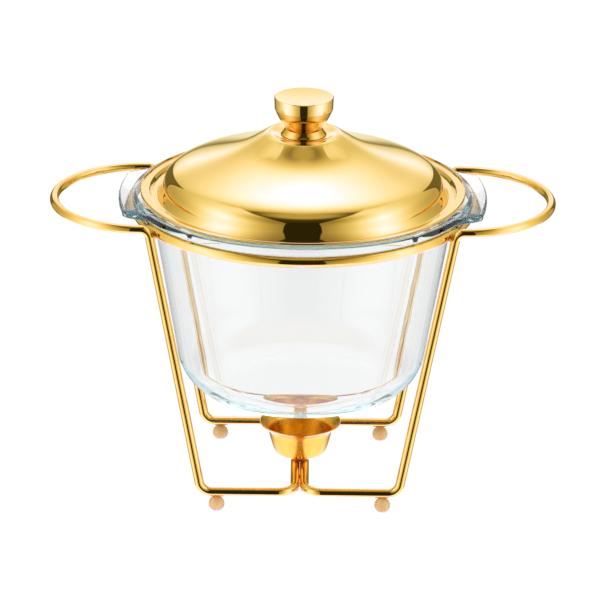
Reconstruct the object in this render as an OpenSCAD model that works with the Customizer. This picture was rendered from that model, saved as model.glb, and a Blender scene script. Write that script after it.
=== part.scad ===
// Round glass casserole on a wire warming stand, with a metal lid and a burner cup.
// Millimetres, +Z up. The origin is the middle of the footprint, on the table.
// The handle loops point along +X and -X, and the front faces -Y.

/* [Stand] */
// Thickness of the side wires
wire_d = 5.8; // [5:0.1:6.2]
// Thickness of the ring's wire
ring_wire_d = 6.6; // [6:0.1:7]
// Radius of the ring, to the middle of its wire
ring_r = 106; // [105:0.5:107]
// Height of the ring's wire, to its middle
ring_z = 185.6; // [180:0.2:190]
// Half the width of the base, to the middle of the wires
base_half_x = 62.5; // [58:0.5:68]
// Half the depth of the base, and of the handle loops
base_half_y = 59.5; // [58:0.5:62]
// Half the overall width, to the middle of the handle wire
handle_half_x = 157.2; // [154:0.2:162]
// Bend radius near the legs in each handle loop
handle_side_r = 54; // [50:1:55]
// How far the handle loops lie above the middle of the ring
handle_rise = 3.3; // [2:0.1:5]
// Bend radius where a leg meets the base
foot_bend_r = 8; // [7:0.5:12]
// Bend radius where a leg meets its handle
top_bend_r = 6; // [5:0.5:7]
// Bend radius where a base wire turns in under the burner
centre_bend_r = 12; // [9:0.5:16]

/* [Feet] */
// Diameter of a ball foot
ball_d = 10; // [9:0.2:12]
// Distance of each ball foot from the middle, across the front
foot_x = 52.6; // [48:0.2:54]

/* [Burner cup] */
// Radius of the flared rim
cup_rim_r = 26.2; // [25:0.2:28]
// Outer radius of the cup just under the flare
cup_body_r = 20.2; // [19.8:0.1:21]
// Outer radius of the cup's flat bottom
cup_base_r = 13.6; // [12:0.2:15]
// Height of the cup
cup_h = 21.6; // [20:0.2:24]
// Thickness of the cup's sheet
cup_sheet = 0.7; // [0.5:0.1:1]

/* [Glass bowl] */
// Outer radius of the wall at the height of the ring
bowl_r = 96.4; // [95:0.2:97]
// Height of the outside of the bowl's bottom
bowl_base_z = 62; // [58:0.2:70]
// How much the wall leans outwards, in mm for each mm of height
bowl_draft = 0.175; // [0.15:0.005:0.2]
// Outer corner radius at the bottom
bowl_corner_r = 29.9; // [22:0.1:34]
// Thickness of the wall
bowl_wall = 4.6; // [4:0.1:5]
// Thickness of the base
bowl_base_t = 6.4; // [5:0.2:8]
// Outer radius of the rim
rim_r = 107; // [106.5:0.5:108]
// Thickness of the rim
rim_t = 5.6; // [5.5:0.1:7]
// Distance of an ear's tip from the middle
ear_reach = 116.4; // [114:0.2:118]
// Half the width of an ear near its tip
ear_half = 37; // [32:1:40]
// Thickness of an ear
ear_t = 4.2; // [3.5:0.1:5]

/* [Lid] */
// Radius of the lid's rolled edge
lid_r = 102.9; // [102:0.1:104]
// Thickness of the lid's sheet
lid_sheet = 0.8; // [0.6:0.1:1]
// Depth of the channel inside the lid's flange
channel_depth = 2.6; // [2:0.1:3]
// Height of the knob's seat above the lid's flange
crown_h = 37.9; // [34:0.1:41]

/* [Knob] */
// Radius of the knob's flat top
knob_r = 18.8; // [17:0.2:20]
// Height of the knob above its collar
knob_h = 19.4; // [18:0.2:22]
// Height of the collar
collar_h = 4; // [3.6:0.2:4.4]
// Radius of the screw's shank
screw_r = 2.4; // [2:0.1:2.5]

/* [Hidden] */
$fn = 64;

gold = [0.93, 0.72, 0.32];
dark_gold = [0.78, 0.5, 0.16];
glass = [0.8, 0.9, 0.92, 0.45];
pearl = [0.98, 0.85, 0.7];

gap = 0.1;                      // between two pieces that only touch
lift_gap = 0.3;                 // between two pieces that lift apart
slip = 0.05;                    // between a shank and its hole

// Stand
wire_r = wire_d / 2;
bend_swell = 0.02;              // how much a bend is thicker than a straight, each way
run_in = 0.3;                   // how far a straight runs into a bend
ring_wire_r = ring_wire_d / 2;
ball_r = ball_d / 2;
ball_flat = 0.2;                // taken off the bottom of each ball
ball_z = ball_r - ball_flat;
base_z = 2 * ball_r - ball_flat + wire_r;
centre_x = wire_r + gap / 2;    // each middle wire's distance from the centre line
handle_z = ring_z + handle_rise;
weld_reach = ring_r + ring_wire_r + wire_r + gap;
leg_top_x = sqrt(weld_reach * weld_reach - base_half_y * base_half_y);
lean = atan((leg_top_x - base_half_x) / (ring_z - base_z));
turn = 90 - lean;               // how far the wire turns at each end of a leg
foot_tangent = foot_bend_r * tan(turn / 2);
top_tangent = top_bend_r * tan(turn / 2);
leg_end_x = base_half_x + (handle_z - base_z) * tan(lean);
leg_l = (handle_z - base_z) / cos(lean) - foot_tangent - top_tangent;
// Each handle loop is two side arcs and one end arc, tangent to each other
loop_x = leg_end_x + top_tangent;
loop_l = handle_half_x - loop_x;
handle_end_r = (loop_l * loop_l + base_half_y * base_half_y - 2 * base_half_y * handle_side_r)
               / (2 * (loop_l - handle_side_r));
end_half_angle = atan2(base_half_y - handle_side_r, handle_end_r - loop_l);

// Welds
ring_weld_r = 2.7;
ring_weld_z = ring_z - 0.5;
centre_weld_r = 1.5;
centre_weld_y = 30;
centre_weld_z = base_z - 1.6;
burner_weld_r = 1;

// Feet
stud_r = 1.3;
stud_h = 6;
stud_bite = 0.5;                // how far a stud runs into its wire
wire_under_z = base_z - wire_r;

// Burner cup
cup_z = base_z + wire_r + gap / 2;
waist_z = cup_z + 0.72 * cup_h;  // where the flare starts
cup_top_z = cup_z + cup_h;

// Glass bowl
rim_z = ring_z + ring_wire_r + lift_gap;
rim_top_z = rim_z + rim_t;
rim_round = 1;                  // rounding under the rim's outer edge
rim_top_round = 1.4;
mouth_r = 98;                   // inside of the rim, round the lid's channel
mouth_depth = 4;
mouth_z = rim_top_z - mouth_depth;
wall_angle = atan(bowl_draft);
corner_x = wall_x(bowl_base_z + bowl_corner_r) - bowl_corner_r / cos(wall_angle);
corner_z = bowl_base_z + bowl_corner_r;
corner_lift = 1;                // how much higher the inside corner's centre lies
ear_tip_r = 165;                // radius of the wide arc at an ear's tip
ear_tip_angle = 12;             // half the angle of that arc

// Lid
flange_z = rim_top_z + lift_gap;
channel_z = flange_z - channel_depth;
skirt_r = 88.8;                 // foot of the dome's skirt
skirt_z = channel_z + 4.2;
channel_in_r = 92.4;            // inner edge of the channel's floor
channel_out_r = 95.6;
step_r = 97.2;                  // where the channel's outer side meets the flange
lip_r = 0.9;                    // radius of the rolled edge
crown_z = flange_z + crown_h;
crown_hole_r = screw_r + 0.3;

// Knob
collar_z = crown_z + gap;
collar_top_r = 11.8;
collar_base_r = 14.8;
knob_lift = 1.1;                // from the collar to the knob's flare
knob_z = collar_z + collar_h + knob_lift;
knob_base_r = 12.1;
knob_band_h = 7.3;              // height of the plain band under the top
knob_neck_r = 9;
knob_bore_h = 12;
washer_r = 7;
washer_t = 1;
washer_z = crown_z - lid_sheet - washer_t - gap;
head_r = 4.6;                   // of the screw
head_h = 2.6;
head_z = washer_z - gap - head_h;
slot_l = 5;                     // of the cross recess in the screw's head
slot_w = 1;
slot_depth = 1.3;

function mid(a, b) = (a + b) / 2;

// Points of one rounded corner: a quadratic curve from a to c that is pulled towards b
function corner(a, b, c, n = 12) =
    [for (i = [1:n]) let (t = i / n) (1 - t) * (1 - t) * a + 2 * t * (1 - t) * b + t * t * c];

// A smooth line that starts and ends at the first and last point and rounds every other one
function smooth(p, n = 12) =
    concat([p[0]], [for (i = [1:len(p) - 2])
        each corner(i == 1 ? p[0] : mid(p[i - 1], p[i]), p[i],
                    i == len(p) - 2 ? p[i + 1] : mid(p[i], p[i + 1]), n)]);

// Points of an arc round c from angle a0 to angle a1
function arc(c, r, a0, a1, n = 12) =
    [for (i = [0:n]) let (a = a0 + (a1 - a0) * i / n) c + r * [cos(a), sin(a)]];

function unit(v) = v / norm(v);

// The line p moved sideways by t, to its right
function beside(p, t) =
    [for (i = [0:len(p) - 1])
        let (d = unit(p[min(i + 1, len(p) - 1)] - p[max(i - 1, 0)])) p[i] + t * [d[1], -d[0]]];

function reverse(p) = [for (i = [len(p) - 1:-1:0]) p[i]];

// A sheet of thickness t that follows the line p, turned round the Z axis
module spun_sheet(p, t) {
    rotate_extrude() polygon(concat(p, reverse(beside(p, t))));
}

// A bend of radius r round the Z axis, from angle a0 through the angle sweep
module bend(r, a0, sweep, thick = wire_r + bend_swell) {
    rotate([0, 0, a0]) rotate_extrude(angle = sweep) translate([r, 0]) circle(thick);
}

// A straight of this length up the Z axis, which runs a little into the bends at its ends
module straight(length) {
    translate([0, 0, -run_in]) cylinder(r = wire_r, h = length + 2 * run_in);
}

// From the middle wire's front end round to the end arc of the handle, on the right-hand side
module front_wire() {
    run_x = centre_x + centre_bend_r;
    foot_x1 = base_half_x - foot_tangent;
    side_run_in = run_in / handle_side_r * 180 / PI;
    translate([run_x, centre_bend_r - base_half_y, base_z]) bend(centre_bend_r, 180, 90);
    translate([run_x, -base_half_y, base_z]) rotate([0, 90, 0]) straight(foot_x1 - run_x);
    translate([foot_x1, -base_half_y, base_z + foot_bend_r]) rotate([90, 0, 0])
        bend(foot_bend_r, -90, turn);
    translate([base_half_x + foot_tangent * sin(lean), -base_half_y,
               base_z + foot_tangent * cos(lean)])
        rotate([0, lean, 0]) straight(leg_l);
    translate([loop_x, -base_half_y, handle_z - top_bend_r]) rotate([90, 0, 0])
        bend(top_bend_r, 90, turn);
    translate([loop_x, handle_side_r - base_half_y, handle_z])
        bend(handle_side_r, -90 - side_run_in, 90 - end_half_angle + 2 * side_run_in, wire_r);
}

// One bent wire: middle wire, base, two legs and the handle loop between them
module side_wire() {
    middle_l = 2 * (base_half_y - centre_bend_r);
    translate([centre_x, middle_l / 2, base_z]) rotate([90, 0, 0]) straight(middle_l);
    front_wire();
    mirror([0, 1, 0]) front_wire();
    translate([handle_half_x - handle_end_r, 0, handle_z])
        bend(handle_end_r, -end_half_angle, 2 * end_half_angle);
}

module right_side_wire() {
    color(gold) side_wire();
}

module left_side_wire() {
    color(gold) mirror([1, 0, 0]) side_wire();
}

module support_ring() {
    color(gold) translate([0, 0, ring_z]) rotate_extrude() translate([ring_r, 0]) circle(ring_wire_r);
}

// Bead in the crotch between the ring and a leg
module ring_weld(side, end) {
    reach = (ring_r + ring_wire_r + gap / 2) / weld_reach;
    color(dark_gold) translate([side * leg_top_x * reach, end * base_half_y * reach, ring_weld_z])
        sphere(ring_weld_r);
}

// Bead that joins the two middle wires, in the groove under them
module centre_weld(end) {
    color(dark_gold) translate([0, end * centre_weld_y, centre_weld_z]) sphere(centre_weld_r);
}

module burner_cup() {
    side = smooth([[cup_base_r - 4, cup_z], [cup_base_r, cup_z], [cup_base_r + 3.6, cup_z + 3.4],
                   [cup_body_r - 0.5, waist_z - 2.6], [cup_body_r, waist_z],
                   [cup_body_r + 1.2, waist_z + 3.2], [cup_rim_r - 1.4, cup_top_z - 1.6],
                   [cup_rim_r, cup_top_z]], 8);
    color(gold) spun_sheet(concat([[0, cup_z]], side), -cup_sheet);
}

// Bead between the cup's bottom and both middle wires
module burner_weld(end) {
    color(dark_gold) translate([0, end * (cup_base_r - 0.4), cup_z - 0.3]) rotate([0, 90, 0]) {
        cylinder(r = burner_weld_r, h = 2 * centre_x, center = true);
        for (side = [-1, 1]) translate([0, 0, side * centre_x]) sphere(burner_weld_r);
    }
}

// Stud that is welded under the wire and holds a ball
module foot_stud(side, end) {
    color(dark_gold) translate([side * foot_x, end * base_half_y, wire_under_z + stud_bite - stud_h])
        cylinder(r = stud_r, h = stud_h);
}

// Ball with a flat at the bottom, a flat under the wire and a blind hole for the stud
module foot_ball(side, end) {
    color(pearl) translate([side * foot_x, end * base_half_y, 0]) difference() {
        translate([0, 0, ball_z]) sphere(ball_r);
        translate([0, 0, -1]) cylinder(r = ball_r, h = 1);
        translate([0, 0, wire_under_z - gap]) cylinder(r = ball_r, h = 1);
        translate([0, 0, wire_under_z - stud_h]) cylinder(r = stud_r + slip, h = stud_h);
    }
}

// Distance of the bowl's outer wall from the middle at this height
function wall_x(z) = bowl_r + bowl_draft * (z - ring_z);

// Outer profile of the bowl below its rim, from the middle of the bottom outwards
function bowl_outside() = concat(
    [[0, bowl_base_z]],
    arc([corner_x, corner_z], bowl_corner_r, -90, -wall_angle),
    [[wall_x(rim_z - 3), rim_z - 3], [wall_x(rim_z) + 2.6, rim_z]]);

// Inner profile, from the middle of the floor out to the mouth
function bowl_inside() = concat(
    [[0, bowl_base_z + bowl_base_t]],
    arc([corner_x, corner_z + corner_lift], bowl_corner_r + corner_lift - bowl_base_t, -90, -wall_angle),
    [[wall_x(mouth_z) - bowl_wall, mouth_z], [mouth_r, mouth_z + 0.5 * mouth_depth], [mouth_r, rim_top_z]]);

// A point of the arc at the tip of the ear that points along +X
function ear_tip(angle) = [ear_reach - ear_tip_r * (1 - cos(angle)), ear_tip_r * sin(angle)];

// Half of that ear's outline, from its tip round a rounded corner and in along its hollow side
function ear_half_plan() = concat(
    [for (angle = [0:3:ear_tip_angle - 3]) ear_tip(angle)],
    smooth([ear_tip(ear_tip_angle), [ear_reach - 3.6, ear_half + 2], [97, 45], [81, 60], [70, 81]], 8),
    [[0, 81]]);

module ear() {
    half = ear_half_plan();
    translate([0, 0, rim_z]) linear_extrude(ear_t)
        polygon(concat(half, [for (i = [len(half) - 1:-1:1]) [half[i][0], -half[i][1]]]));
}

module glass_bowl() {
    rim = [[rim_r - rim_round, rim_z], [rim_r, rim_z + rim_round], [rim_r, rim_top_z - rim_top_round],
           [rim_r - rim_top_round, rim_top_z], [0, rim_top_z]];
    color(glass) difference() {
        union() {
            rotate_extrude() polygon(concat(bowl_outside(), rim));
            ear();
            mirror([1, 0, 0]) ear();
        }
        rotate_extrude() polygon(concat(bowl_inside(), [[mouth_r, rim_top_z + 1], [0, rim_top_z + 1]]));
    }
}

// Line of the lid's underside, from the hole in the crown out to the rolled edge
function lid_line() = concat(
    [[crown_hole_r, crown_z - lid_sheet]],
    smooth([[15.4, crown_z - lid_sheet], [18.6, crown_z - 0.1], [21.4, crown_z + 0.95],
            [24.2, crown_z - 0.1], [33.8, crown_z - 6.5], [48.2, crown_z - 13.4],
            [61.8, crown_z - 17.8], [76, crown_z - 22], [86.8, crown_z - 26.6],
            [skirt_r - 0.2, crown_z - 32.7], [skirt_r, skirt_z]], 10),
    [[channel_in_r, channel_z], [channel_out_r, channel_z], [step_r, flange_z],
     [lid_r - lip_r, flange_z]]);

module lid() {
    color(gold) {
        spun_sheet(lid_line(), -lid_sheet);
        translate([0, 0, flange_z + lip_r]) rotate_extrude() translate([lid_r - lip_r, 0]) circle(lip_r);
    }
}

// Flared ring between the lid and the knob
module knob_collar() {
    side = smooth([[collar_base_r - 0.6, 0], [collar_base_r + 0.4, 0.6],
                   [collar_top_r + 1.2, collar_h - 1.4], [collar_top_r, collar_h]], 6);
    color(gold) translate([0, 0, collar_z]) difference() {
        rotate_extrude() polygon(concat([[0, 0]], side, [[0, collar_h]]));
        translate([0, 0, -1]) cylinder(r = crown_hole_r, h = collar_h + 2);
    }
}

// Flared knob with a plain band under its flat top, a short neck below it and a blind bore
module knob() {
    band_z = knob_h - knob_band_h;
    flare = smooth([[knob_base_r - 0.8, 0], [knob_base_r + 0.1, 0.1], [knob_r - 4.3, 3.7],
                    [knob_r - 1.5, 8.4], [knob_r - 0.9, band_z]], 8);
    band = smooth([[knob_r - 0.8, band_z + 0.2], [knob_r, knob_h - 1.2], [knob_r, knob_h],
                   [knob_r - 1, knob_h]], 6);
    color(gold) translate([0, 0, knob_z]) difference() {
        union() {
            rotate_extrude() polygon(concat([[0, 0]], flare, band, [[0, knob_h - 0.5]]));
            translate([0, 0, gap - knob_lift]) cylinder(r = knob_neck_r, h = knob_lift + 1);
        }
        translate([0, 0, -2]) cylinder(r = screw_r + slip, h = knob_bore_h + 2);
    }
}

module knob_washer() {
    color(gold) translate([0, 0, washer_z]) difference() {
        cylinder(r = washer_r, h = washer_t);
        translate([0, 0, -1]) cylinder(r = crown_hole_r, h = washer_t + 2);
    }
}

// Cross-recessed pan-head screw, driven up through the washer, the lid and the collar
module knob_screw() {
    shank_z = head_z + head_h - 0.5;
    shank_top_z = knob_z + knob_bore_h - 1.5;
    head = smooth([[2.6, 0], [head_r, 0.2], [head_r, head_h]], 8);
    color(dark_gold) difference() {
        union() {
            translate([0, 0, head_z]) rotate_extrude() polygon(concat([[0, 0]], head, [[0, head_h]]));
            translate([0, 0, shank_z]) cylinder(r = screw_r, h = shank_top_z - shank_z);
        }
        for (turned = [0, 90]) translate([0, 0, head_z]) rotate([0, 0, turned])
            cube([slot_l, slot_w, 2 * slot_depth], center = true);
    }
}

left_side_wire();
right_side_wire();
support_ring();
ring_weld(-1, -1);  // ring_weld_front_left
ring_weld(1, -1);  // ring_weld_front_right
ring_weld(-1, 1);  // ring_weld_back_left
ring_weld(1, 1);  // ring_weld_back_right
centre_weld(-1);  // centre_weld_front
centre_weld(1);  // centre_weld_back
burner_cup();
burner_weld(-1);  // burner_weld_front
burner_weld(1);  // burner_weld_back
foot_stud(-1, -1);  // foot_stud_front_left
foot_stud(1, -1);  // foot_stud_front_right
foot_stud(-1, 1);  // foot_stud_back_left
foot_stud(1, 1);  // foot_stud_back_right
foot_ball(-1, -1);  // foot_ball_front_left
foot_ball(1, -1);  // foot_ball_front_right
foot_ball(-1, 1);  // foot_ball_back_left
foot_ball(1, 1);  // foot_ball_back_right
glass_bowl();
lid();
knob_collar();
knob();
knob_washer();
knob_screw();
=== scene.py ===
"""The looks of a chafing dish food warmer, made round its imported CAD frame.

Profiles and routes are in millimetres, and make_mesh() turns them into metres. +Z is up, the front
faces -Y and the handle loops point along +X and -X. Most pieces are flat lines of (radius, height),
turned round the Z axis.
"""
import math

import bpy
from mathutils import Euler, Matrix, Vector, noise


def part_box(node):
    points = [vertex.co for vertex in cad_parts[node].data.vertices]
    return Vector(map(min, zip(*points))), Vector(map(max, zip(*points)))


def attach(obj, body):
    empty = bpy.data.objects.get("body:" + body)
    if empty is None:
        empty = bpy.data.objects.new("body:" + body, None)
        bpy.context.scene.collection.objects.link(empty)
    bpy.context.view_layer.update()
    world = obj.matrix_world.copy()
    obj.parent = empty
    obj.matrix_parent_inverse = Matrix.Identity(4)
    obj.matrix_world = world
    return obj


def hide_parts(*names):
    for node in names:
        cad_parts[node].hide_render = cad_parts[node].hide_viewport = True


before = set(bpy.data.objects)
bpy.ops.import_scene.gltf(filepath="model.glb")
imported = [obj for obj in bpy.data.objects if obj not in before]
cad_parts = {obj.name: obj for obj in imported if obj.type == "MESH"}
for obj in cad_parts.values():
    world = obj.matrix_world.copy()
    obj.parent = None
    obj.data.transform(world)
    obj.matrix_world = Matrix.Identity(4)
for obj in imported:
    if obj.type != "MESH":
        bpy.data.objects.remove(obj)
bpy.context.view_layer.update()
MM = 0.001


# ---------------------------------------------------------------- sizes, taken from the frame
def box_mm(node):
    """Lowest and highest corner of a CAD node, in millimetres."""
    low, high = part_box(node)
    return Vector(low) / MM, Vector(high) / MM


TOUCH = 0.1                      # between two pieces that only touch
BORE_R = 2.7                     # of the lid, the collar and the washer, round the knob's screw

WIRE_R = 2.9
BEND_R = WIRE_R + 0.02           # the CAD wire is this thick in its bends
ring_low, ring_high = box_mm("support_ring")
RING_WIRE_R = (ring_high.z - ring_low.z) / 2
RING_R = ring_high.x - RING_WIRE_R
RING_Z = ring_high.z - RING_WIRE_R

wire_low, wire_high = box_mm("right_side_wire")
CENTRE_X = WIRE_R + TOUCH / 2
BASE_Z = wire_low.z + BEND_R
BASE_Y = wire_high.y - BEND_R
BASE_X = 62.5                    # where the lines of the base and of a leg meet
HANDLE_Z = wire_high.z - BEND_R
HANDLE_X = wire_high.x - BEND_R
HANDLE_SIDE_R = 54               # of the two side arcs of a handle loop
FOOT_BEND_R = 8
TOP_BEND_R = 6
CENTRE_BEND_R = 12
WELD_REACH = RING_R + RING_WIRE_R + WIRE_R + TOUCH     # from the Z axis to a leg beside the ring
LEG_TOP_X = math.sqrt(WELD_REACH ** 2 - BASE_Y ** 2)
LEAN = math.atan((LEG_TOP_X - BASE_X) / (RING_Z - BASE_Z))

cup_low, cup_high = box_mm("burner_cup")
CUP_Z, CUP_TOP_Z, CUP_R = cup_low.z, cup_high.z, cup_high.x
CUP_SHEET = 0.7

bowl_low, bowl_high = box_mm("glass_bowl")
BOWL_Z, RIM_TOP_Z = bowl_low.z, bowl_high.z
EAR_REACH = bowl_high.x
RIM_R = bowl_high.y
RIM_Z = ring_high.z + 0.3        # the rim's underside, just above the ring
EAR_T = 4.2

lid_low, lid_high = box_mm("lid")
LID_R, CHANNEL_Z = lid_high.x, lid_low.z
LID_SHEET = 0.8
LID_LIP_R = 0.9                  # of the rolled edge
FLANGE_Z = RIM_TOP_Z + 0.3
SKIRT_R = 88.9                   # foot of the dome's skirt
SKIRT_Z = CHANNEL_Z + LID_SHEET + 4.9
CHANNEL_IN_R = 92.3              # edges of the channel's floor
CHANNEL_OUT_R = 95.4
FLANGE_IN_R = 97.3

collar_low, collar_high = box_mm("knob_collar")
SEAT_Z = collar_low.z - TOUCH    # of the collar, in the dished crown of the lid
knob_low, knob_high = box_mm("knob")
washer_low, washer_high = box_mm("knob_washer")
screw_low, screw_high = box_mm("knob_screw")


# ---------------------------------------------------------------- lines
def points(*pairs):
    """Two or three numbers for each point."""
    return [Vector(pair) for pair in pairs]


def points_from(radius, height, *offsets):
    """Points of a flat line, each given by how far it is from this radius and height."""
    return [Vector((radius + out, height + up)) for out, up in offsets]


def rounded(corners, radii):
    """The line through these corners, each rounded to its radius with about one point for every 6
    degrees. A tuple (radius, count) gives the number of points on that arc instead."""
    line = []
    last = len(corners) - 1
    for i, corner in enumerate(corners):
        radius, count = radii[i] if isinstance(radii[i], tuple) else (radii[i], 0)
        if radius == 0 or i in (0, last):
            line.append(corner.copy())
            continue
        before = (corners[i - 1] - corner).normalized()
        after = (corners[i + 1] - corner).normalized()
        turn = math.pi - before.angle(after)
        if turn < 1e-4:
            line += [corner.copy() for _ in range(max(count, 1))]
            continue
        tangent = radius * math.tan(turn / 2)
        start = corner + before * tangent
        centre = corner + (before + after).normalized() * radius / math.cos(turn / 2)
        spoke = (start - centre).normalized()
        count = count or max(3, math.ceil(math.degrees(turn) / 6) + 1)
        for k in range(count):
            angle = turn * k / (count - 1)
            line.append(centre + radius * (spoke * math.cos(angle) - before * math.sin(angle)))
    return line


def spline(controls, steps=10):
    """A cubic B-spline that starts and ends at the first and last control."""
    ends = [controls[0]] * 2 + list(controls) + [controls[-1]] * 2
    line = []
    for a, b, c, d in zip(ends, ends[1:], ends[2:], ends[3:]):
        for k in range(steps):
            t = k / steps
            line.append((a * (1 - t) ** 3 + b * (3 * t ** 3 - 6 * t ** 2 + 4)
                         + c * (3 * t + 3 * t ** 2 - 3 * t ** 3 + 1) + d * t ** 3) / 6)
    line.append(controls[-1].copy())
    return without_repeats(line)


def without_repeats(line, least=0.01):
    """The line without the points that lie closer than this to the one before."""
    kept = [line[0]]
    for point in line[1:]:
        if (point - kept[-1]).length > least:
            kept.append(point)
    return kept


def beside(line, distance):
    """The flat line moved sideways, to its left for a positive distance."""
    moved = []
    for i, point in enumerate(line):
        along = (line[min(i + 1, len(line) - 1)] - line[max(i - 1, 0)]).normalized()
        moved.append(point + distance * Vector((-along.y, along.x)))
    return moved


def spaced(line, longest):
    """The line with its long stretches cut into shorter ones."""
    cut = [line[0]]
    for start, end in zip(line, line[1:]):
        count = math.ceil((end - start).length / longest)
        cut += [start.lerp(end, k / count) for k in range(1, count + 1)]
    return cut


def arc(centre, radius, start, end, step=3):
    """Points of a flat arc round centre, between two angles in degrees."""
    count = max(2, math.ceil(abs(end - start) / step))
    angles = [math.radians(start + (end - start) * k / count) for k in range(count + 1)]
    return [Vector(centre) + radius * Vector((math.cos(a), math.sin(a))) for a in angles]


# ---------------------------------------------------------------- meshes
def make_mesh(name, verts, faces, material, sharp=38):
    """An object of these points in millimetres, smooth but for edges over this many degrees."""
    mesh = bpy.data.meshes.new(name)
    mesh.from_pydata([Vector(v) * MM for v in verts], [], faces)
    mesh.validate()
    mesh.update()
    mesh.polygons.foreach_set("use_smooth", [True] * len(mesh.polygons))
    mesh.set_sharp_from_angle(angle=math.radians(sharp))
    mesh.materials.append(material)
    piece = bpy.data.objects.new(name, mesh)
    bpy.context.scene.collection.objects.link(piece)
    return piece


def place(piece, body, slot, *nodes):
    """The piece moves with the body and stands for these CAD nodes, which are hidden. The slot is
    not used.
    """
    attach(piece, body)
    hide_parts(*nodes)


def spun(name, line, material, segments, closed=False, sharp=38):
    """The flat line turned round the Z axis. A point on the axis becomes one vertex."""
    verts, rings, faces = [], [], []
    for radius, height in line:
        first = len(verts)
        if radius < 1e-6:
            verts.append((0, 0, height))
            rings.append([first] * segments)
            continue
        for k in range(segments):
            angle = 2 * math.pi * k / segments
            verts.append((radius * math.cos(angle), radius * math.sin(angle), height))
        rings.append(list(range(first, first + segments)))
    pairs = list(zip(rings, rings[1:])) + ([(rings[-1], rings[0])] if closed else [])
    for low, high in pairs:
        for k in range(segments):
            n = (k + 1) % segments
            corners = [low[k], low[n], high[n], high[k]]
            face = [v for i, v in enumerate(corners) if v not in corners[:i]]
            if len(face) > 2:
                faces.append(face)
    return make_mesh(name, verts, faces, material, sharp)


def swept(name, route, radius, material, sides=28):
    """A round wire along the closed route."""
    count = len(route)
    tangents = [(route[(i + 1) % count] - route[i - 1]).normalized() for i in range(count)]
    normal = tangents[0].orthogonal().normalized()
    normals = [normal]
    for before, tangent in zip(tangents, tangents[1:]):
        normal = (before.rotation_difference(tangent) @ normal).normalized()
        normals.append(normal)
    verts, faces = [], []
    for point, tangent, normal in zip(route, tangents, normals):
        side = tangent.cross(normal)
        for k in range(sides):
            angle = 2 * math.pi * k / sides
            verts.append(point + radius * (normal * math.cos(angle) + side * math.sin(angle)))
    # the last ring may have turned against the first one
    last = tangents[-1].rotation_difference(tangents[0]) @ normals[-1]
    twist = math.atan2(last.dot(tangents[0].cross(normals[0])), last.dot(normals[0]))
    shift = round(twist / (2 * math.pi) * sides)
    for i in range(count):
        over = shift if i == count - 1 else 0
        n = (i + 1) % count
        for k in range(sides):
            faces.append((i * sides + k, i * sides + (k + 1) % sides,
                          n * sides + (k + 1 + over) % sides, n * sides + (k + over) % sides))
    return make_mesh(name, verts, faces, material)


# ---------------------------------------------------------------- materials
def new_material(name, **sockets):
    """A Principled material. Each keyword is a socket name with _ for a space."""
    material = bpy.data.materials.new(name)
    material.use_nodes = True
    shader = material.node_tree.nodes["Principled BSDF"]
    for socket, value in sockets.items():
        shader.inputs[socket.replace("_", " ")].default_value = value
    return material, material.node_tree, shader


def node(tree, kind, **values):
    """A new shader node. A number goes to the input of that name, anything else is a setting."""
    made = tree.nodes.new(kind)
    for key, value in values.items():
        if isinstance(value, (int, float)) and key in made.inputs:
            made.inputs[key].default_value = value
        else:
            setattr(made, key, value)
    return made


def cloud_at(tree, where, **values):
    """How strong a noise texture is at this point."""
    cloud = node(tree, "ShaderNodeTexNoise", **values)
    tree.links.new(where, cloud.inputs["Vector"])
    return cloud.outputs["Fac"]


def add_bump(tree, shader, height, strength, distance):
    bump = node(tree, "ShaderNodeBump", Strength=strength, Distance=distance)
    tree.links.new(height, bump.inputs["Height"])
    tree.links.new(bump.outputs["Normal"], shader.inputs["Normal"])


def object_point(tree, scale=(1, 1, 1)):
    """The point in the object's own metres, multiplied by scale."""
    where = tree.nodes.new("ShaderNodeTexCoord")
    mapping = tree.nodes.new("ShaderNodeMapping")
    mapping.inputs["Scale"].default_value = scale
    tree.links.new(where.outputs["Object"], mapping.inputs["Vector"])
    return mapping.outputs["Vector"]


def ramp_of(tree, value, *stops):
    """Colours or greys along a value, as (place, colour) stops."""
    ramp = tree.nodes.new("ShaderNodeValToRGB")
    ramp.color_ramp.interpolation = "EASE"
    while len(ramp.color_ramp.elements) < len(stops):
        ramp.color_ramp.elements.new(0.5)
    for element, (position, colour) in zip(ramp.color_ramp.elements, stops):
        element.position = position
        element.color = (*colour, 1) if isinstance(colour, tuple) else (colour, colour, colour, 1)
    tree.links.new(value, ramp.inputs["Fac"])
    return ramp.outputs["Color"]


def plated(name, colour, deep, rough, blotch=45, wave=0.0):
    """Polished plating: mirror metal with faint cloudy tarnish and smears. wave makes it lumpy."""
    material, tree, shader = new_material(name, Metallic=1.0)
    tarnish = cloud_at(tree, object_point(tree), Scale=blotch, Detail=4.0, Roughness=0.55)
    colours = ramp_of(tree, tarnish, (0.3, deep), (0.62, colour))
    tree.links.new(colours, shader.inputs["Base Color"])
    smears = cloud_at(tree, object_point(tree), Scale=blotch * 6, Detail=3.0, Roughness=0.6)
    roughness = ramp_of(tree, smears, (0.35, rough * 0.75), (0.7, rough * 1.35))
    tree.links.new(roughness, shader.inputs["Roughness"])
    if wave:
        add_bump(tree, shader, tarnish, wave, 0.0002)
    return material


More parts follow.
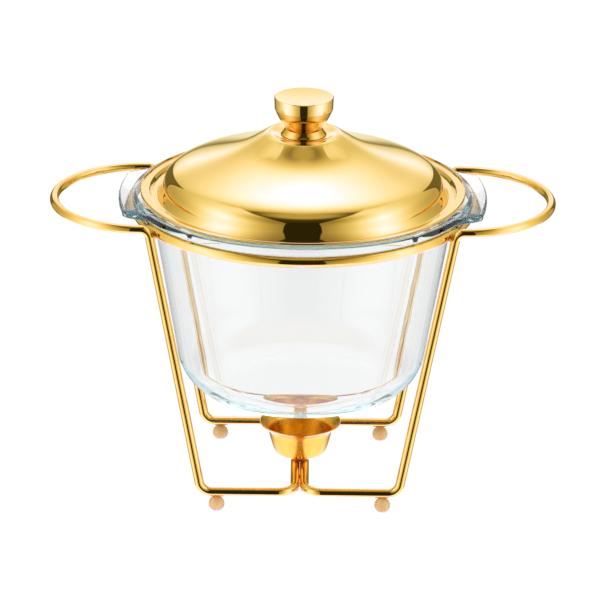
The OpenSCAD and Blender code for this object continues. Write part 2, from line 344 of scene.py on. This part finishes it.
def brushed(name, colour, deep, rough):
    """Turned metal, with fine rings of brushing round the Z axis."""
    material, tree, shader = new_material(name, Metallic=1.0)
    where = tree.nodes.new("ShaderNodeTexCoord")
    split = tree.nodes.new("ShaderNodeSeparateXYZ")
    tree.links.new(where.outputs["Object"], split.inputs["Vector"])
    flat = tree.nodes.new("ShaderNodeCombineXYZ")
    for axis in "XY":
        tree.links.new(split.outputs[axis], flat.inputs[axis])
    radius = node(tree, "ShaderNodeVectorMath", operation="LENGTH")
    tree.links.new(flat.outputs["Vector"], radius.inputs[0])
    profile = tree.nodes.new("ShaderNodeCombineXYZ")
    tree.links.new(radius.outputs["Value"], profile.inputs["X"])
    tree.links.new(split.outputs["Z"], profile.inputs["Y"])
    rings = cloud_at(tree, profile.outputs["Vector"], Scale=5200.0, Detail=2.0, Roughness=0.6)
    colours = ramp_of(tree, rings, (0.25, deep), (0.65, colour))
    tree.links.new(colours, shader.inputs["Base Color"])
    roughness = ramp_of(tree, rings, (0.3, rough * 0.8), (0.7, rough * 1.3))
    tree.links.new(roughness, shader.inputs["Roughness"])
    add_bump(tree, shader, rings, 0.03, 0.00005)
    return material


def clear_glass():
    """Thick pressed glass: faintly uneven, and blue-green where a long way is seen through it."""
    material, tree, shader = new_material("clear_glass", Transmission_Weight=1.0, IOR=1.5,
                                          Roughness=0.0)
    shader.inputs["Base Color"].default_value = (0.945, 0.943, 0.943, 1)
    unevenness = cloud_at(tree, object_point(tree), Scale=30.0, Detail=2.0)
    add_bump(tree, shader, unevenness, 0.03, 0.0004)
    tint = tree.nodes.new("ShaderNodeVolumeAbsorption")
    tint.inputs["Color"].default_value = (0.45, 0.82, 0.9, 1)
    tint.inputs["Density"].default_value = 5.0
    tree.links.new(tint.outputs["Volume"], tree.nodes["Material Output"].inputs["Volume"])
    return material


def pearl():
    """Translucent peach plastic, a little streaky."""
    material, tree, shader = new_material("pearl", Transmission_Weight=0.25, IOR=1.35)
    where = object_point(tree, (1, 1, 1.6))
    streaks = cloud_at(tree, where, Scale=160.0, Detail=2.0, Distortion=0.6)
    colours = ramp_of(tree, streaks, (0.35, (0.95, 0.57, 0.235)), (0.65, (0.99, 0.66, 0.3)))
    tree.links.new(colours, shader.inputs["Base Color"])
    roughness = ramp_of(tree, streaks, (0.3, 0.12), (0.7, 0.2))
    tree.links.new(roughness, shader.inputs["Roughness"])
    return material


lid_gold = plated("lid_gold", (0.9, 0.625, 0.205), (0.89, 0.61, 0.19), rough=0.035)
wire_gold = plated("wire_gold", (0.93, 0.6, 0.15), (0.89, 0.55, 0.12), rough=0.045, blotch=90)
cup_gold = plated("cup_gold", (0.98, 0.55, 0.06), (0.96, 0.52, 0.055), rough=0.28, blotch=30)
weld_gold = plated("weld_gold", (0.72, 0.3, 0.06), (0.5, 0.13, 0.02), rough=0.22, blotch=700,
                   wave=0.6)
knob_gold = brushed("knob_gold", (0.92, 0.66, 0.25), (0.89, 0.62, 0.21), rough=0.08)
stud_gold = plated("stud_gold", (0.8, 0.48, 0.14), (0.6, 0.3, 0.08), rough=0.2, blotch=500)
screw_steel = plated("screw_steel", (0.72, 0.7, 0.67), (0.62, 0.6, 0.57), rough=0.25, blotch=600)
bowl_glass = clear_glass()
ball_pearl = pearl()


# ---------------------------------------------------------------- stand
def side_wire_route(side):
    """The closed middle line of one side wire: forward along the middle wire, out along the base,
    up the leg, round the handle loop and back the same way behind."""
    top_x = BASE_X + (HANDLE_Z - BASE_Z) * math.tan(LEAN)
    loop_x = top_x + TOP_BEND_R * math.tan((math.pi / 2 - LEAN) / 2)
    length = HANDLE_X - loop_x
    # the loop's end is an arc round a point on the X axis, which runs smoothly into the side arcs
    end_r = length ** 2 + BASE_Y ** 2 - 2 * BASE_Y * HANDLE_SIDE_R
    end_r /= 2 * (length - HANDLE_SIDE_R)
    end_angle = math.degrees(math.atan2(BASE_Y - HANDLE_SIDE_R, end_r - length))
    corners = points((CENTRE_X, 0, BASE_Z), (CENTRE_X, -BASE_Y, BASE_Z), (BASE_X, -BASE_Y, BASE_Z),
                     (top_x, -BASE_Y, HANDLE_Z), (loop_x + 1, -BASE_Y, HANDLE_Z))
    front = rounded(corners, [0, CENTRE_BEND_R, FOOT_BEND_R, TOP_BEND_R, 0])[1:-1]
    front = spaced(front, longest=9)
    loop = arc((loop_x, HANDLE_SIDE_R - BASE_Y), HANDLE_SIDE_R, -90, -end_angle)
    loop += arc((HANDLE_X - end_r, 0), end_r, -end_angle, 0)
    loop = without_repeats([Vector((x, y, HANDLE_Z)) for x, y in loop])
    half = without_repeats(front + loop)
    back = [Vector((p.x, -p.y, p.z)) for p in reversed(half[:-1])]
    middle = [Vector((CENTRE_X, y, BASE_Z)) for y in (36, 24, 12, 0, -12, -24, -36)]
    return [Vector((side * p.x, p.y, p.z)) for p in half + back + middle]


def make_stand():
    for side, name in ((-1, "left"), (1, "right")):
        wire = swept(f"{name}_wire", side_wire_route(side), WIRE_R, wire_gold)
        place(wire, "stand", "plated_wire", f"{name}_side_wire")
    ring_line = arc((RING_R, RING_Z), RING_WIRE_R, 0, 348, step=12)
    ring = spun("bowl_ring", ring_line, wire_gold, segments=240, closed=True)
    place(ring, "stand", "plated_wire", "support_ring")


def bead(name, centre, size, toward, seed):
    """A weld bead: a ball with these half sizes along its own axes, the first one toward this
    direction, and a lumpy skin."""
    verts, faces = [], []
    rows, columns = 18, 28
    turn = toward.to_track_quat("X", "Z")
    for i in range(rows + 1):
        polar = math.pi * i / rows
        for k in range(columns):
            around = 2 * math.pi * k / columns
            out = math.sin(polar)
            d = Vector((out * math.cos(around), out * math.sin(around), math.cos(polar)))
            lump = 1 + 0.12 * noise.noise(d * 2.2 + Vector((seed, 0, 0)))
            verts.append(centre + turn @ Vector([d[a] * size[a] * lump for a in range(3)]))
    for i in range(rows):
        for k in range(columns):
            n = (k + 1) % columns
            low, high = i * columns, (i + 1) * columns
            faces.append((low + k, low + n, high + n, high + k))
    return make_mesh(name, verts, faces, weld_gold)


RING_BEAD = (1.9, 2.8, 2.6)
CENTRE_BEAD = (1.3, 2.2, 1.2)
CUP_BEAD = (3.6, 1.0, 0.9)
CENTRE_WELD_Y = 30


def make_welds():
    between = (RING_R + RING_WIRE_R + TOUCH / 2) / WELD_REACH       # the ring and the leg
    for x, x_name in ((-1, "left"), (1, "right")):
        for y, y_name in ((-1, "front"), (1, "back")):
            spot = Vector((x * LEG_TOP_X * between, y * BASE_Y * between, RING_Z - 0.4))
            outward = Vector((spot.x, spot.y, 0)).normalized()
            weld = bead(f"weld_ring_{y_name}_{x_name}", spot, RING_BEAD, outward, x + 3 * y)
            place(weld, "stand", "weld", f"ring_weld_{y_name}_{x_name}")
    along_x = Vector((1, 0, 0))
    for y, y_name in ((-1, "front"), (1, "back")):
        spot = Vector((0, y * CENTRE_WELD_Y, BASE_Z - 1.6))
        weld = bead(f"weld_centre_{y_name}", spot, CENTRE_BEAD, along_x, 7 * y)
        place(weld, "stand", "weld", f"centre_weld_{y_name}")
        low, high = box_mm(f"burner_weld_{y_name}")
        weld = bead(f"weld_burner_{y_name}", (low + high) / 2, CUP_BEAD, along_x, 11 * y)
        place(weld, "stand", "weld", f"burner_weld_{y_name}")


def make_burner_cup():
    """A spun cup: a flat bottom, a body that widens a little, and a flared rim above the waist."""
    flat_r = CUP_R - 12.6
    body_r = CUP_R - 6
    waist_z = CUP_Z + 0.72 * (CUP_TOP_Z - CUP_Z)
    foot = points_from(flat_r, CUP_Z, (-5, 0), (-1.5, 0), (1.2, 0.5), (3.6, 3.8))
    waist = points_from(body_r, waist_z, (-0.5, -3), (0, -0.4), (1.0, 2.6))
    flare = points_from(CUP_R, CUP_TOP_Z, (-1.4, -1.6), (0, -0.1))
    outside = spline(points((0, CUP_Z)) + foot + waist + flare, 8)
    inside = beside(outside, CUP_SHEET)
    inside[0].x = 0
    lip = [(outside[-1] + inside[-1]) / 2 + Vector((0.15, 0.12))]
    cup = spun("cup", outside + lip + inside[::-1], cup_gold, segments=144)
    place(cup, "stand", "plated_sheet", "burner_cup")


def ball_line(low, high, radius):
    """Half the outline of a ball foot, with a flat underneath and a blind hole for its stud."""
    hole_r, hole_z = 1.35, BASE_Z - WIRE_R - 6
    flat_edge, hole_edge = -73.7, 78         # degrees above the ball's middle
    skin = arc((0, radius - 0.2), radius, flat_edge, hole_edge, step=6)
    corners = points((hole_r + 0.25, high.z), (hole_r, high.z - 0.3), (hole_r, hole_z), (0, hole_z))
    hole = rounded(corners, [0, 0.2, 0.3, 0])
    return [Vector((0, low.z))] + skin + hole


def stud_line(low, high):
    """Half the outline of a stud: a thin shank between two thicker ends."""
    end_r, shank_r = 1.25, 0.85
    shank_low, shank_high = low + 1.8, high - 1.6
    corners = points((0, low), (end_r, low), (end_r, low + 1.4), (shank_r, shank_low),
                     (shank_r, shank_high), (end_r, high - 1.1), (end_r, high), (0, high))
    return rounded(corners, [0, 0.25, 0.1, 0.1, 0.1, 0.1, 0, 0])


def make_feet():
    for x_name in ("left", "right"):
        for y_name in ("front", "back"):
            where = f"{y_name}_{x_name}"
            low, high = box_mm(f"foot_ball_{where}")
            centre = (low + high) / 2
            radius = (high.x - low.x) / 2
            ball = spun(f"ball_{where}", ball_line(low, high, radius), ball_pearl, segments=48)
            stud_low, stud_high = box_mm(f"foot_stud_{where}")
            stud = spun(f"stud_{where}", stud_line(stud_low.z, stud_high.z), stud_gold, segments=24)
            for piece in (ball, stud):
                for vertex in piece.data.vertices:
                    vertex.co += Vector((centre.x, centre.y, 0)) * MM
            place(ball, "stand", "ball_foot", f"foot_ball_{where}")
            place(stud, "stand", "stud", f"foot_stud_{where}")


# ---------------------------------------------------------------- glass bowl
BOWL_R = 96.4                    # outside of the wall at the height of the ring
DRAFT = 0.175                    # how far the wall leans out for each millimetre of height
BOWL_WALL = 4.6
BOWL_BASE_T = 6.4
BOWL_CORNER_R = 29.9
MOUTH_R = 98                     # of the recess in the rim that takes the lid's channel
MOUTH_DEPTH = 4
EAR_ROOT_R = 107.6               # where the top of an ear meets the rim


def wall_r(z):
    return BOWL_R + DRAFT * (z - RING_Z)


def ear_outline():
    """Half the outline of the ear at +X, from its tip to where it runs into the rim."""
    tip_r = 165

    def tip(angle):
        a = math.radians(angle)
        return Vector((EAR_REACH - tip_r * (1 - math.cos(a)), tip_r * math.sin(a)))

    corner = points((EAR_REACH - 3.2, 39.4), (97, 45), (81, 60), (70, 81))
    side = spline([tip(9), tip(12)] + corner, 12)
    return [tip(a) for a in range(0, 9)] + side


def reach_at(outline, angle):
    """How far the bowl's edge is from the middle in this direction, in radians from +X."""
    folded = abs((angle + math.pi / 2) % math.pi - math.pi / 2)
    ear = 0
    for a, b in zip(outline, outline[1:]):
        low, high = math.atan2(a.y, a.x), math.atan2(b.y, b.x)
        if low <= folded <= high and high > low:
            ear = a.lerp(b, (folded - low) / (high - low)).length
            break
    if ear <= RIM_R - 12:
        return RIM_R
    blend = 1.6                  # rounds the corner between the ear and the rim
    return (ear + RIM_R + math.sqrt((ear - RIM_R) ** 2 + blend ** 2)) / 2


def bowl_line(reach):
    """The bowl's whole profile in a direction where its edge is this far out."""
    share = min(1, max(0, reach - RIM_R) / 3)
    ear = share ** 2 * (3 - 2 * share)       # 0 on the rim, 1 on an ear
    edge_top = RIM_TOP_Z + ear * (RIM_Z + EAR_T - RIM_TOP_Z)
    bead_foot = reach - 2 + ear * (EAR_ROOT_R - reach + 2)
    mouth_z = RIM_TOP_Z - MOUTH_DEPTH
    floor_z = BOWL_Z + BOWL_BASE_T
    corners = points(
        (0, BOWL_Z), (wall_r(BOWL_Z), BOWL_Z), (wall_r(RIM_Z - 3), RIM_Z - 3),
        (wall_r(RIM_Z) + 2.6, RIM_Z), (reach, RIM_Z), (reach, edge_top),
        (bead_foot, edge_top), (bead_foot - 2.4, RIM_TOP_Z + 0.001),
        (MOUTH_R, RIM_TOP_Z), (MOUTH_R, mouth_z + 2), (wall_r(mouth_z) - BOWL_WALL, mouth_z),
        (wall_r(floor_z) - BOWL_WALL, floor_z), (0, floor_z))
    radii = [0, (BOWL_CORNER_R, 18), (3, 3), (1.5, 3), (1.3, 5), (1.5, 5), (1.2, 3), (1.2, 3),
             (0.7, 4), (0.7, 4), (1.6, 4), (BOWL_CORNER_R + 1 - BOWL_BASE_T, 18), 0]
    return rounded(corners, radii)


def make_bowl():
    """The profile differs from direction to direction, so the bowl is laid out column by column."""
    outline = ear_outline()
    segments = 360
    columns = [bowl_line(reach_at(outline, 2 * math.pi * k / segments)) for k in range(segments)]
    rows = len(columns[0])
    verts = [Vector((0, 0, columns[0][0].y)), Vector((0, 0, columns[0][-1].y))]
    for k, column in enumerate(columns):
        angle = 2 * math.pi * k / segments
        verts += [Vector((r * math.cos(angle), r * math.sin(angle), z)) for r, z in column[1:-1]]
    faces = []
    inner = rows - 2
    for k in range(segments):
        here, there = 2 + k * inner, 2 + (k + 1) % segments * inner
        faces.append((0, there, here))
        faces.append((1, here + inner - 1, there + inner - 1))
        for i in range(inner - 1):
            faces.append((here + i, there + i, there + i + 1, here + i + 1))
    bowl = make_mesh("bowl", verts, faces, bowl_glass, sharp=50)
    place(bowl, "bowl", "clear_glass", "glass_bowl")


# ---------------------------------------------------------------- lid and knob
def lid_top_line():
    """The lid's upper side, from the hole in the crown over its ridge and down to the foot of the
    skirt. Each point is a radius and a height above the collar's seat."""
    rises = [(BORE_R, 0), (9, 0), (15.4, 0), (17.6, 0.45), (20.4, 1.35), (23, 1.45), (26, -0.2),
             (31.6, -3.7), (40, -8.8), (52, -13.7), (66, -18.4), (79, -22.6), (85.5, -26.4),
             (88.1, -30.7), (SKIRT_R, SKIRT_Z - SEAT_Z)]
    return spline([Vector((radius, SEAT_Z + rise)) for radius, rise in rises], 10)


def make_lid():
    channel_top = CHANNEL_Z + LID_SHEET
    flange_top = FLANGE_Z + LID_SHEET
    dome = lid_top_line()
    corners = points((SKIRT_R, SKIRT_Z), (CHANNEL_IN_R, channel_top), (CHANNEL_OUT_R, channel_top),
                     (FLANGE_IN_R, flange_top), (LID_R - LID_LIP_R, flange_top))
    channel = rounded(corners, [0, 0.8, 0.8, 0.8, 0])
    top = without_repeats(dome + channel)
    under = beside(top, -LID_SHEET)
    under[0].x = top[0].x
    edge = arc((LID_R - LID_LIP_R, FLANGE_Z + LID_LIP_R), LID_LIP_R, 82, -90, step=15)
    lid = spun("lid_dome", top + edge + under[::-1], lid_gold, segments=288, closed=True, sharp=60)
    place(lid, "lid", "plated_lid", "lid")


def make_collar():
    foot, top, outer = collar_low.z, collar_high.z, collar_high.x
    base = points_from(outer, foot, (-2, 0), (-0.3, 0), (0, 0.35), (-1.4, 1.5))
    side = spline(base + points_from(outer, top, (-2.4, -0.9), (-3, -0.2), (-3.4, 0)), 6)
    bore = points((BORE_R, top), (BORE_R, foot))
    collar = spun("collar", side + bore, wire_gold, segments=128, closed=True)
    place(collar, "lid", "plated_knob", "knob_collar")


def make_knob():
    """A neck in the collar, a flare, an almost upright band and a slightly dished top."""
    radius, top = knob_high.x, knob_high.z
    foot = collar_high.z + 1.1
    band = top - 8
    neck_r = 9
    dish_depth = 0.5
    neck = points((0, knob_low.z), (neck_r, knob_low.z), (neck_r, foot))
    flare = points_from(radius, foot, (-7.6, 0), (-6.7, 0), (-5.9, 0.8), (-4.2, 3.9), (-2.2, 7.3))
    flare = spline(flare + points_from(radius, band, (-0.5, 0)), 8)
    rim = points_from(radius, band, (-0.42, 0.25), (-0.36, 0.7))
    rim += points_from(radius, top, (-0.14, -2.4), (-0.08, -0.9), (-0.05, -0.35),
                       (-0.5, 0), (-1.6, -0.05), (-3, -0.15))
    rim = rounded(rim, [0, 0.3, 0.3, 0.3, 0.2, 0.3, 0.3, 0])
    shares = [k / 12 for k in range(10, -1, -1)]
    dish = [Vector((radius * share, top - dish_depth * (1 - share ** 2))) for share in shares]
    knob = spun("lid_knob", neck + flare + rim[:-1] + dish, knob_gold, segments=160, sharp=30)
    place(knob, "lid", "plated_knob", "knob")


def make_washer():
    low, high, outer = washer_low.z, washer_high.z, 7
    corners = points((BORE_R, low), (outer, low), (outer, high), (BORE_R, high))
    line = rounded(corners, [0, 0.25, 0.25, 0])
    washer = spun("washer", line, lid_gold, segments=64, closed=True)
    place(washer, "lid", "plated_knob", "knob_washer")


def make_screw():
    """A pan-head screw: a domed head with a cross recess and a threaded shank."""
    low, high = screw_low.z, screw_high.z
    head_r, head_h = screw_high.x, 2.6
    shank_r, pitch = 2.4, 0.8
    root_r = shank_r - 0.35
    line = spline(points((0, low), (2.2, low), (head_r - 0.3, low + 0.2), (head_r, low + 1.2),
                         (head_r, low + head_h)), 6)
    z = low + head_h
    line += points((shank_r - 0.3, z))
    while z + pitch < high - 0.4:
        line += points((root_r, z + 0.1), (shank_r, z + pitch / 2), (root_r, z + pitch - 0.1))
        z += pitch
    line += points((shank_r - 0.6, high), (0, high))
    screw = spun("screw", without_repeats(line), screw_steel, segments=48, sharp=30)
    cutter = make_mesh("cross", *cross_prism(2.2, 0.55, low - 0.2, low + 1.2), screw_steel)
    cut = screw.modifiers.new("recess", "BOOLEAN")
    cut.operation, cut.object, cut.solver = "DIFFERENCE", cutter, "EXACT"
    bpy.context.view_layer.update()
    graph = bpy.context.evaluated_depsgraph_get()
    cut_mesh = bpy.data.meshes.new_from_object(screw.evaluated_get(graph))
    screw.modifiers.clear()
    screw.data = cut_mesh
    bpy.data.objects.remove(cutter)
    place(screw, "lid", "screw_steel", "knob_screw")


def cross_prism(arm, half_width, low, high):
    """Verts and faces of a plus-shaped prism."""
    a, w = arm, half_width
    plan = [(a, -w), (a, w), (w, w), (w, a), (-w, a), (-w, w),
            (-a, w), (-a, -w), (-w, -w), (-w, -a), (w, -a), (w, -w)]
    verts = [(x, y, low) for x, y in plan] + [(x, y, high) for x, y in plan]
    n = len(plan)
    faces = [tuple(range(n))[::-1], tuple(range(n, 2 * n))]
    faces += [(k, (k + 1) % n, n + (k + 1) % n, n + k) for k in range(n)]
    return verts, faces


# ---------------------------------------------------------------- studio
TABLE_R = 1400
TABLE_GLOW = 1.01
CAMERA_ELEVATION = 21.13         # degrees
CAMERA_ROLL = 0.66               # degrees
CAMERA_DISTANCE = 2.928          # metres
CAMERA_TARGET_Z = 0.1004         # metres
LENS = 274.5
LENS_SHIFT = (-0.0023, 0.0502)
BOUNCES = 64


def make_camera():
    """A long lens straight in front of the object, looking down at it and rolled a little."""
    elevation, roll = math.radians(CAMERA_ELEVATION), math.radians(CAMERA_ROLL)
    away = Vector((0, -math.cos(elevation), math.sin(elevation)))
    camera = bpy.data.cameras.new("camera")
    camera.sensor_width = 36
    camera.lens = LENS
    camera.shift_x, camera.shift_y = LENS_SHIFT
    camera.clip_end = 50
    seat = bpy.data.objects.new("camera", camera)
    seat.location = Vector((0, 0, CAMERA_TARGET_Z)) + CAMERA_DISTANCE * away
    look = Euler((math.pi / 2 - elevation, 0, 0)).to_matrix()
    seat.rotation_euler = (look @ Matrix.Rotation(roll, 3, "Z")).to_euler()
    bpy.context.scene.collection.objects.link(seat)
    bpy.context.scene.camera = seat


def make_floor():
    """A round white table that glows as much as the white behind it, so that the two merge. The
    metal reflects the studio under it instead."""
    material, _, shader = new_material("floor_white", Roughness=1.0, Specular_IOR_Level=0.0)
    shader.inputs["Base Color"].default_value = (0, 0, 0, 1)
    shader.inputs["Emission Color"].default_value = (1, 1, 1, 1)
    shader.inputs["Emission Strength"].default_value = TABLE_GLOW
    material.cycles.emission_sampling = "NONE"
    angles = [math.radians(a) for a in range(0, 360, 3)]
    rim = [(TABLE_R * math.cos(a), TABLE_R * math.sin(a), 0) for a in angles]
    floor = make_mesh("floor", rim, [tuple(range(len(rim)))], material)
    floor.visible_glossy = False


class Field:
    """A number that the shader works out. Arithmetic on it adds Math nodes."""

    def __init__(self, tree, socket):
        self.tree = tree
        self.socket = socket

    def math(self, operation, *others):
        made = self.tree.nodes.new("ShaderNodeMath")
        made.operation = operation
        for slot, value in zip(made.inputs, (self, *others)):
            if isinstance(value, Field):
                self.tree.links.new(value.socket, slot)
            else:
                slot.default_value = value
        return Field(self.tree, made.outputs[0])

    def __add__(self, other):
        return self.math("ADD", other)

    def __sub__(self, other):
        return self.math("SUBTRACT", other)

    def __mul__(self, other):
        return self.math("MULTIPLY", other)

    def __truediv__(self, other):
        return self.math("DIVIDE", other)

    def __pow__(self, power):
        return self.math("POWER", power)

    def most(self, other):
        """The larger of the two."""
        return self.math("MAXIMUM", other)

    def rise(self, start, end):
        """0 below start, 1 above end and smooth between. It falls where end is the lower one."""
        low, high = (start, end) if start < end else (end, start)
        made = self.tree.nodes.new("ShaderNodeMapRange")
        made.interpolation_type = "SMOOTHSTEP"
        self.tree.links.new(self.socket, made.inputs["Value"])
        made.inputs["From Min"].default_value = low
        made.inputs["From Max"].default_value = high
        made.inputs["To Min"].default_value = 0 if start < end else 1
        made.inputs["To Max"].default_value = 1 if start < end else 0
        return Field(self.tree, made.outputs["Result"])

    def hump(self, centre, width):
        """A bell that is 1 at centre and fades over about this width each way."""
        away = (self - centre) / width
        return (away * away * -1).math("EXPONENT")


def studio_light(tree, sky_point):
    """How bright the studio is in each direction. A tall strip light stands along each side, and a
    big soft light hangs behind. It is dark in front, over the camera and beyond the strips' back
    ends, and light comes up from below. Angles are in degrees, and left and right are alike."""
    split = tree.nodes.new("ShaderNodeSeparateXYZ")
    tree.links.new(sky_point, split.inputs["Vector"])
    across = Field(tree, split.outputs["X"]).math("ABSOLUTE")
    back = Field(tree, split.outputs["Y"])
    up = Field(tree, split.outputs["Z"])
    azimuth = across.math("ARCTAN2", back * -1) * math.degrees(1)      # 0 in front, 180 behind
    elevation = up.math("ARCSINE") * math.degrees(1)
    blur = elevation.rise(55, 78) * 0.14 + 0.015                       # edges are softer overhead

    # the strips, with a glow that leans back as it climbs
    climb = elevation.most(0) / 65
    glow_azimuth = climb * climb * climb * 36 + 66
    glow_width = elevation.rise(5, -15) * 7 + 34
    glow = azimuth.hump(glow_azimuth, glow_width) * elevation.rise(70, 20) * 0.7
    strip = azimuth.rise(20, 110) * (elevation.rise(5, 68) * 0.42 + 0.16) + 0.14 + glow
    strip_front = azimuth.rise(15, 15.8)
    strip_back = ((azimuth * -1 + 144.5) / (elevation.rise(44, 62) * 22 + 0.7)).rise(-1, 1)
    strip_top = ((across * 2.45 + back.math("ABSOLUTE") * 0.24 + 0.01 - up) / blur).rise(-1, 1)
    strips = strip * (strip_front * strip_back * strip_top)

    # the soft light behind, which is narrower toward its foot
    high = elevation.hump(51, 22) * azimuth.hump(180, 40) * elevation.rise(105, 58) * 0.56
    low = elevation.hump(14, 7.5) * azimuth.hump(171, 14) * 0.35
    spread = azimuth.hump(180, 70) * (elevation.rise(62, 80) * -0.14 + 0.5)
    behind_sides = (up + back * 0.303 - across * 1.417).rise(-0.006, 0.01)
    behind_top = ((back - up * 0.095 - across * 0.37) / blur).rise(-1.2, 1)
    behind = (high + low + spread) * (behind_sides * behind_top * elevation.rise(-3, 4))

    below = elevation.rise(-28, -38) * 0.88
    below_behind = elevation.rise(2, -9) * azimuth.rise(165, 173) * 0.45
    ground = below + below_behind + azimuth.rise(142, 148) * 0.1
    dark = elevation.rise(40, 75) * 0.028 + elevation.rise(66, 82) * 0.27 + 0.014
    return strips.most(behind).most(ground).most(dark)


def studio_colour(tree, light, glassy):
    """Colour of the studio light: amber where it is dim and cool where it is bright. Where glassy
    is 1 it has no colour, so that only the metal is tinted."""
    red = light * 1.95 - light * light * 0.55
    green = light * 1.6
    blue = light * 0.5 + light * light * 0.9 + light ** 6 * 3.2
    colour = tree.nodes.new("ShaderNodeCombineColor")
    for channel, value in (("Red", red), ("Green", green), ("Blue", blue)):
        seen = (green - value) * glassy + value
        tree.links.new(seen.socket, colour.inputs[channel])
    return colour.outputs["Color"]


def make_sky():
    """The studio as metal and glass show it. The camera past the object, and matt surfaces, get
    even white instead."""
    world = bpy.data.worlds.new("studio")
    bpy.context.scene.world = world
    world.use_nodes = True
    world.cycles.sampling_method = "NONE"
    tree = world.node_tree
    path = tree.nodes.new("ShaderNodeLightPath")

    def ray(kind):
        return Field(tree, path.outputs[f"Is {kind} Ray"])

    studio = tree.nodes["Background"]
    where = tree.nodes.new("ShaderNodeTexCoord")
    light = studio_light(tree, where.outputs["Generated"])
    glassy = ray("Transmission").most(ray("Singular"))       # only the glass is perfectly sharp
    tree.links.new(studio_colour(tree, light, glassy), studio.inputs["Color"])
    white = tree.nodes.new("ShaderNodeBackground")
    white.inputs["Color"].default_value = (1, 1, 1, 1)
    even = ray("Camera").most(ray("Diffuse"))
    mix = tree.nodes.new("ShaderNodeMixShader")
    tree.links.new(even.socket, mix.inputs["Fac"])
    tree.links.new(studio.outputs["Background"], mix.inputs[1])
    tree.links.new(white.outputs["Background"], mix.inputs[2])
    tree.links.new(mix.outputs["Shader"], tree.nodes["World Output"].inputs["Surface"])


def set_look():
    """Plain colours, and enough bounces for light that is caught in the bowl's thick wall."""
    scene = bpy.context.scene
    scene.view_settings.view_transform = "Standard"
    scene.cycles.max_bounces = BOUNCES
    scene.cycles.transmission_bounces = BOUNCES
    scene.cycles.glossy_bounces = BOUNCES
    scene.cycles.transparent_max_bounces = 16
    scene.cycles.use_denoising = True


make_camera()
make_stand()
make_welds()
make_burner_cup()
make_feet()
make_bowl()
make_lid()
make_collar()
make_knob()
make_washer()
make_screw()
make_floor()
make_sky()
set_look()
